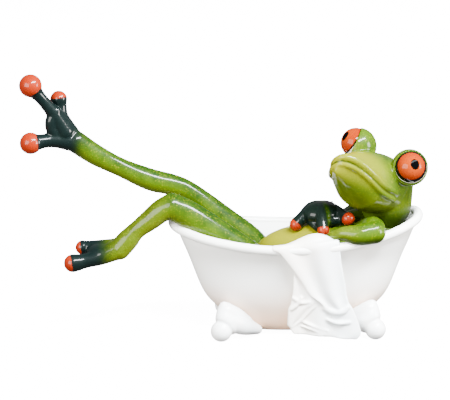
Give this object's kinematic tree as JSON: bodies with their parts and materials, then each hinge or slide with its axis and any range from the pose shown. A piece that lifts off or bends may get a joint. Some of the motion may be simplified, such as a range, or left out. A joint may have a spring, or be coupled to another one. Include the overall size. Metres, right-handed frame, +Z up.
{
  "type": "frog figurine",
  "caption": "Tabletop ornament: a glossy green frog lies back in a claw-foot bathtub with one leg raised and a towel over the rim.",
  "frame": {"origin": "middle of the whole figurine's footprint, on the table it stands on", "axes": "+Z up; +X towards the end of the bathtub where the frog's head lies, so its feet point to -X; -Y the side with the towel"},
  "size_m": [0.2034, 0.0648, 0.1328],
  "materials": {
    "tub_white": "satin-gloss off-white paint on cast resin",
    "towel_white": "satin white paint on cast resin",
    "frog_skin": "shaded green paint under clear gloss lacquer on cast resin",
    "frog_feet": "near-black teal paint with orange toe pads under clear gloss lacquer on cast resin",
    "frog_eye": "gloss orange with a painted black pupil",
    "steel": "bare drawn wire"
  },
  "bodies": {
    "root": {"bathtub": "tub_white", "tub_foot_front_left": "tub_white", "tub_foot_front_right": "tub_white", "tub_foot_back_left": "tub_white", "tub_foot_back_right": "tub_white", "towel": "towel_white", "head": "frog_skin", "torso": "frog_skin", "left_leg": "frog_skin", "right_leg": "frog_skin", "left_arm": "frog_skin", "right_arm": "frog_skin", "left_foot": "frog_feet", "right_foot": "frog_feet", "left_hand": "frog_feet", "right_hand": "frog_feet", "left_eye": "frog_eye", "right_eye": "frog_eye", "left_leg_wire": "steel", "right_leg_wire": "steel", "neck_dowel": "steel", "left_shoulder_dowel": "steel", "right_shoulder_dowel": "steel", "left_wrist_dowel": "steel", "right_wrist_dowel": "steel"}
  },
  "joints": []
}
